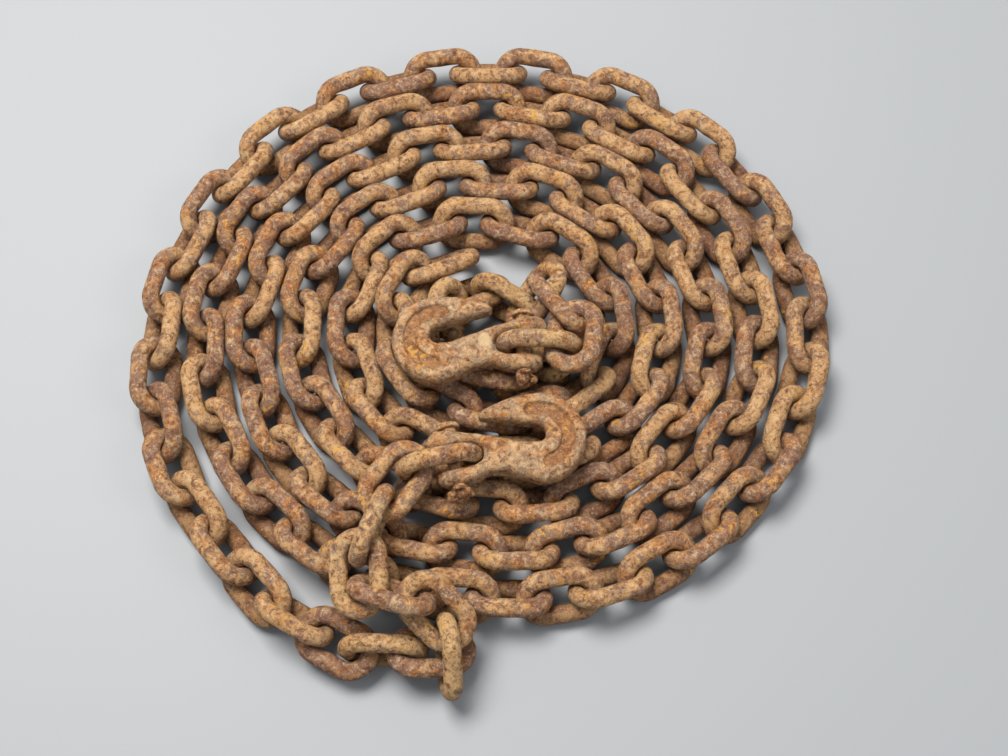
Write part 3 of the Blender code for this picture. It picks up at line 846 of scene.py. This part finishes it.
def hook_thickness(u, v):
    """The share of the hook's thickness that is left at each point of its plan."""
    past_pin = np.clip((u - PIN_U) / EAR_ROUND, 0.0, EAR_LAST)
    thin = np.sqrt(1 - past_pin**2) - EAR_NECK * np.exp(-(((u - EAR_NECK_U) / EAR_NECK_LENGTH) ** 2))
    finger = np.clip((u - FINGER_ROOT) / FINGER_LENGTH, 0.0, 1.0) * (v > FINGER_V)
    thin *= 1 - FINGER_THINNING * finger**FINGER_CURVE
    inside = np.clip(edge_distance(u, v) / HOOK_ROUNDING, 0.0, 1.0)
    return thin * (1 - (1 - HOOK_WALL) * (1 - np.sqrt(1 - (1 - inside) ** 2)))


def hook_blank(name):
    """The forging before its rounding: its outline through its whole thickness, with the pin's bore."""
    mesh = bmesh.new()
    half = HOOK_THICKNESS / 2
    face = mesh.faces.new([mesh.verts.new((u * MM, v * MM, -half)) for u, v in hook_outline()])
    grown = bmesh.ops.extrude_face_region(mesh, geom=[face])
    top = [item for item in grown["geom"] if isinstance(item, bmesh.types.BMVert)]
    bmesh.ops.translate(mesh, vec=(0.0, 0.0, HOOK_THICKNESS), verts=top)
    hook = new_object(name, mesh)
    drill = bmesh.new()
    turned(drill, [(-DRILL_REACH, DRILL_RADIUS), (DRILL_REACH, DRILL_RADIUS)], TURNED_SIDES)
    cutter = new_object(name + "_drill", drill)
    cut = hook.modifiers.new("bore", "BOOLEAN")
    cut.operation = "DIFFERENCE"
    cut.object = cutter
    applied(hook)
    bpy.data.objects.remove(cutter)
    return hook


def forged_hook(name, node, place, material, seed):
    """A grab hook: rounded edges, a recess round the bend on both faces and a boss on one."""
    hook = hook_blank(name)
    remeshed(hook, HOOK_VOXEL, HOOK_SMOOTHING)
    u, v, w = (vertices_of(hook) / MM).T
    face_share = smooth_step(np.abs(w), FACE_START, FACE_WHOLE)
    w = w * hook_thickness(u, v)
    recess = recess_share(u, v) * face_share
    w -= np.sign(w) * RECESS_DEPTH * recess
    boss = boss_share(u, v) * face_share * (w > 0)
    w += BOSS_HEIGHT * boss
    points = np.stack([u, v, w], axis=1) * MM
    set_vertices(hook, points)
    rough = relief(points, HOOK_DENTS, seed) + relief(points, HOOK_PITS, seed + 1)
    rough += recess * relief(points, RECESS_CRUST, seed + 2)
    points += normals_of(hook) * rough[:, None]
    points[:, 2] = np.clip(points[:, 2], -HOOK_THICKNESS / 2, HOOK_THICKNESS / 2)
    set_vertices(hook, place.in_frame(points))
    add_value(hook.data, "recess", recess)
    add_value(hook.data, "boss", boss)
    add_value(hook.data, "tone", np.full(len(points), HOOK_TONE))
    placed_piece(hook, node, material)


def rounded_pin(name, node, place, material, seed):
    """The clevis pin, with a domed head and a pitted skin."""
    shank = [(v, PIN_RADIUS) for v in np.arange(SHANK_START, HEAD_BASE[0][0], SHANK_STEP)]
    dome = [
        (DOME_START + DOME_HEIGHT * math.sin(a), HEAD_RADIUS * math.cos(a) ** DOME_CURVE)
        for a in np.radians(DOME_ANGLES)
    ]
    mesh = bmesh.new()
    turned(mesh, [*PIN_TIP, *shank, *HEAD_BASE, *dome], TURNED_SIDES)
    pin = new_object(name, mesh)
    points = vertices_of(pin)
    centre = np.stack([np.full(len(points), PIN_U * MM), points[:, 1], np.zeros(len(points))], axis=1)
    out = points - centre
    out /= np.maximum(np.linalg.norm(out, axis=1, keepdims=True), 1e-6)
    rough = relief(points, PIN_DENTS, seed) - PIN_WORN * MM
    points += out * rough[:, None]
    set_vertices(pin, place.in_frame(points))
    add_value(pin.data, "tone", np.full(len(points), PIN_TONE))
    placed_piece(pin, node, material)


def cotter_wire(mesh, up):
    """The cotter's bent wire, with its eye on the upper side and its ends on the lower one."""
    eye = arc(COTTER_EYE_CENTRE, COTTER_EYE, *COTTER_EYE_ARC)
    path = [(PIN_U + x, COTTER_V, z * up) for x, z in [*COTTER_LEG, *eye]]
    radius = COTTER_RADIUS * MM
    for here, following in zip(path, path[1:]):
        near, far = Vector(here) * MM, Vector(following) * MM
        span = far - near
        turn = span.to_track_quat("Z", "Y").to_matrix().to_4x4()
        middle = Matrix.Translation((near + far) / 2)
        bmesh.ops.create_cone(
            mesh, cap_ends=True, segments=COTTER_SIDES, radius1=radius, radius2=radius,
            depth=span.length, matrix=middle @ turn,
        )
        bmesh.ops.create_icosphere(mesh, subdivisions=2, radius=radius, matrix=Matrix.Translation(far))


def crusted_cotter(name, node, place, material, seed):
    """The bent cotter through the pin, grown into one lump of rust at the pin's end."""
    up = 1.0 if place.w[2] > 0 else -1.0
    mesh = bmesh.new()
    cotter_wire(mesh, up)
    rng = np.random.default_rng(seed)
    lumps = [((PIN_U + x, v, z * up), radius) for (x, v, z), radius in RUST_LUMPS]
    for _ in range(CRUMBS):
        x, v, z = rng.uniform(-1.0, 1.0, 3) * CRUMB_SPREAD
        lumps.append(((PIN_U + x, CRUMB_V + v, z), rng.uniform(*CRUMB_RADII)))
    for middle, radius in lumps:
        place_at = Matrix.Translation(Vector(middle) * MM)
        bmesh.ops.create_icosphere(mesh, subdivisions=2, radius=radius * MM, matrix=place_at)
    piece = new_object(name, mesh)
    remeshed(piece, LUMP_VOXEL, LUMP_SMOOTHING)
    points = vertices_of(piece)
    rough = relief(points, LUMP_DENTS, seed) + relief(points, LUMP_PITS, seed + 1)
    points += normals_of(piece) * rough[:, None]
    set_vertices(piece, place.in_frame(points))
    add_value(piece.data, "tone", np.full(len(points), COTTER_TONE))
    placed_piece(piece, node, material)


class Shading:
    """A material's nodes, added one after another."""

    def __init__(self, name):
        self.material = bpy.data.materials.new(name)
        self.material.use_nodes = True
        self.tree = self.material.node_tree
        self.shader = self.tree.nodes["Principled BSDF"]
        self.place = self.tree.nodes.new("ShaderNodeTexCoord").outputs["Object"]

    def link(self, source, target):
        """Joins an output to an input."""
        self.tree.links.new(source, target)

    def noise(self, size, detail=4.0, rough=0.55, warp=0.0):
        """Noise with features of this size, in metres."""
        node = self.tree.nodes.new("ShaderNodeTexNoise")
        self.link(self.place, node.inputs["Vector"])
        node.inputs["Scale"].default_value = 1 / size
        node.inputs["Detail"].default_value = detail
        node.inputs["Roughness"].default_value = rough
        node.inputs["Distortion"].default_value = warp
        return node.outputs["Fac"]

    def ramp(self, source, low, high):
        """0 below low and 1 above high."""
        node = self.tree.nodes.new("ShaderNodeMapRange")
        node.interpolation_type = "SMOOTHSTEP"
        self.link(source, node.inputs["Value"])
        node.inputs["From Min"].default_value = low
        node.inputs["From Max"].default_value = high
        return node.outputs["Result"]

    def maths(self, operation, first, second):
        """A sum or a product of two outputs, or of an output and a number."""
        node = self.tree.nodes.new("ShaderNodeMath")
        node.operation = operation
        for k, value in enumerate((first, second)):
            if isinstance(value, float):
                node.inputs[k].default_value = value
            else:
                self.link(value, node.inputs[k])
        return node.outputs[0]

    def mix(self, share, first, second):
        """From the first colour to the second, each a value or an output."""
        node = self.tree.nodes.new("ShaderNodeMix")
        node.data_type = "RGBA"
        self.link(share, node.inputs["Factor"])
        for name, value in (("A", first), ("B", second)):
            socket = next(s for s in node.inputs if s.name == name and s.type == "RGBA")
            if isinstance(value, tuple):
                socket.default_value = (*value, 1.0)
            else:
                self.link(value, socket)
        return next(s for s in node.outputs if s.type == "RGBA")

    def scaled(self, source, share):
        """A share of an output."""
        return self.maths("MULTIPLY", source, share)

    def laid(self, body, colour, source, layer):
        """The body with a layer of another colour, where the source is past the layer's start."""
        start, whole, share = layer
        return self.mix(self.scaled(self.ramp(source, start, whole), share), body, colour)

    def value(self, name):
        """A number that each vertex of the piece holds."""
        node = self.tree.nodes.new("ShaderNodeAttribute")
        node.attribute_name = name
        return node.outputs["Fac"]

    def height(self):
        """How high above the floor, in metres."""
        node = self.tree.nodes.new("ShaderNodeSeparateXYZ")
        self.link(self.place, node.inputs[0])
        return node.outputs["Z"]

    def bump(self, source, depth, before=None):
        """A normal with bumps of this depth, in metres, on top of the normal from before."""
        node = self.tree.nodes.new("ShaderNodeBump")
        self.link(source, node.inputs["Height"])
        node.inputs["Strength"].default_value = 1.0
        node.inputs["Distance"].default_value = depth
        if before is not None:
            self.link(before, node.inputs["Normal"])
        return node.outputs["Normal"]


def rust(name, light, dark, patch, recess=False):
    """Rust: mottled in two browns, with dull patches, dark pits, pale specks, a few bright flecks and
    painted low shade.
    """
    s = Shading(name)
    tone = s.value("tone")
    turned_brown = s.maths("ADD", s.noise(*BROAD_NOISE), s.scaled(tone, TONE_IN_BODY))
    body = s.mix(s.ramp(turned_brown, *BODY_RANGE), light, dark)
    dull = s.noise(*DULL_NOISE)
    body = s.laid(body, patch, s.maths("ADD", dull, s.scaled(tone, TONE_IN_DULL)), DULL_LAYER)
    streak = s.noise(*STREAK_NOISE)
    body = s.laid(body, RED_BROWN, streak, STREAK_LAYER)
    body = s.laid(body, PALE_DUST, streak, STREAK_DUST_LAYER)
    mottle = s.noise(*MOTTLE_NOISE)
    body = s.laid(body, DARK_BROWN, mottle, MOTTLE_LAYER)
    body = s.laid(body, PALE_DUST, mottle, MOTTLE_DUST_LAYER)
    # Painted shade: darker and redder towards the floor, by the height above it
    body = s.laid(body, PAINTED_LOW_SHADE, s.height(), LOW_SHADE_LAYER)
    if recess:
        crust = s.mix(s.ramp(s.noise(*CRUST_NOISE), *CRUST_RANGE), RECESS_ORANGE, RED_BROWN)
        body = s.mix(s.scaled(s.value("recess"), RECESS_SHARE), body, crust)
        body = s.mix(s.scaled(s.value("boss"), BOSS_SHARE), body, BOSS_PALE)
    body = s.laid(body, DARK_BROWN, s.noise(*PIT_NOISE), PIT_LAYER)
    body = s.laid(body, PALE_SPECK, s.noise(*SPECK_NOISE), SPECK_LAYER)
    flecked = s.ramp(s.noise(*FLECKED_NOISE), *FLECKED_RANGE)
    fleck = s.maths("MULTIPLY", flecked, s.ramp(s.noise(*FLECK_NOISE), *FLECK_RANGE))
    body = s.mix(s.scaled(fleck, FLECK_SHARE), body, ORANGE_FLECK)
    s.link(body, s.shader.inputs["Base Color"])
    s.link(s.maths("ADD", s.scaled(dull, DULL_ROUGHNESS), ROUGHNESS), s.shader.inputs["Roughness"])
    s.shader.inputs["Specular IOR Level"].default_value = GLOSS
    coarse = s.bump(s.noise(*COARSE_NOISE), COARSE_DEPTH)
    s.link(s.bump(s.noise(*FINE_NOISE), FINE_DEPTH, coarse), s.shader.inputs["Normal"])
    return s.material


def pale_floor():
    """The plain floor that the heap lies on."""
    data = bpy.data.meshes.new("floor")
    half = FLOOR_SIZE / 2
    corners = [(-half, -half, 0.0), (half, -half, 0.0), (half, half, 0.0), (-half, half, 0.0)]
    data.from_pydata(corners, [], [(0, 1, 2, 3)])
    floor = bpy.data.objects.new("floor", data)
    bpy.context.scene.collection.objects.link(floor)
    material = bpy.data.materials.new("floor_paint")
    material.use_nodes = True
    shader = material.node_tree.nodes["Principled BSDF"]
    shader.inputs["Base Color"].default_value = FLOOR_COLOUR
    shader.inputs["Roughness"].default_value = FLOOR_ROUGHNESS
    data.materials.append(material)


def area_light(name, place, size, power, colour):
    """A soft light at a place, aimed at the middle of the floor."""
    data = bpy.data.lights.new(name, "AREA")
    data.shape = "RECTANGLE"
    data.size, data.size_y = size
    data.energy = power
    data.color = colour
    light = bpy.data.objects.new(name, data)
    bpy.context.scene.collection.objects.link(light)
    light.location = place
    light.rotation_euler = (-Vector(place)).to_track_quat("-Z", "Y").to_euler()


def studio():
    """A soft light above, a weak one at the side and an even pale room, seen in the standard view."""
    area_light("ceiling_light", *CEILING_LIGHT)
    area_light("side_light", *SIDE_LIGHT)
    world = bpy.data.worlds.new("room")
    world.use_nodes = True
    world.node_tree.nodes["Background"].inputs["Color"].default_value = ROOM_COLOUR
    world.node_tree.nodes["Background"].inputs["Strength"].default_value = ROOM_STRENGTH
    bpy.context.scene.world = world
    bpy.context.scene.view_settings.view_transform = "Standard"


def photo_camera():
    """The photograph's view: from the front, high above the heap."""
    data = bpy.data.cameras.new("photo_camera")
    data.lens = CAMERA_LENS
    data.sensor_width = CAMERA_SENSOR
    camera = bpy.data.objects.new("photo_camera", data)
    bpy.context.scene.collection.objects.link(camera)
    up = math.radians(CAMERA_ELEVATION)
    offset = np.array([0.0, -math.cos(up), math.sin(up)]) * CAMERA_DISTANCE
    camera.location = offset + SHIFT
    camera.rotation_euler = (math.pi / 2 - up, 0.0, 0.0)
    bpy.context.scene.camera = camera


def dressed_chain():
    """Round links in the place of every solid of the chain."""
    coil, tail, inner_end = laid_chain()
    coil_rust = rust("coil_rust_skin", TAN, ORANGE_BROWN, PURPLE_BROWN)
    end_rust = rust("end_rust_skin", YELLOW_TAN, ORANGE_BROWN, PURPLE_BROWN)
    for start in range(0, len(coil), RUN_LENGTH):
        run = start // RUN_LENGTH + 1
        links = coil[start : start + RUN_LENGTH]
        link_piece(f"coil_run_{run:02d}", f"coil_links_{run:02d}", links, coil_rust, run)
    for group, links, seed in (("tail", tail, TAIL_SEED), ("inner", inner_end, INNER_SEED)):
        for k, link in enumerate(links):
            name = f"{group}_round_{k + 1:02d}"
            node = f"{group}_link_{k + 1:02d}"
            link_piece(name, node, [link], end_rust, seed + k)


def dressed_hooks():
    """Both hooks, each with its pin and its cotter."""
    hook_rust = rust("hook_rust_skin", HOOK_TAN, ORANGE_BROWN, HOOK_GREY, recess=True)
    pin_rust = rust("pin_rust_skin", TAN, ORANGE_BROWN, RED_BROWN)
    cotter_rust = rust("cotter_rust_skin", CRUST_ORANGE, ORANGE_BROWN, RED_BROWN)
    for k, (side, row) in enumerate((("front", FRONT_HOOK), ("back", BACK_HOOK))):
        place = Place(*row)
        hook = f"{side}_hook"
        forged_hook(f"{side}_forging", hook, place, hook_rust, HOOK_SEED + k)
        rounded_pin(f"{side}_clevis_pin", f"{hook}_pin", place, pin_rust, PIN_SEED + k)
        crusted_cotter(f"{side}_cotter_crust", f"{hook}_cotter", place, cotter_rust, COTTER_SEED + k)


dressed_chain()
dressed_hooks()
pale_floor()
studio()
photo_camera()
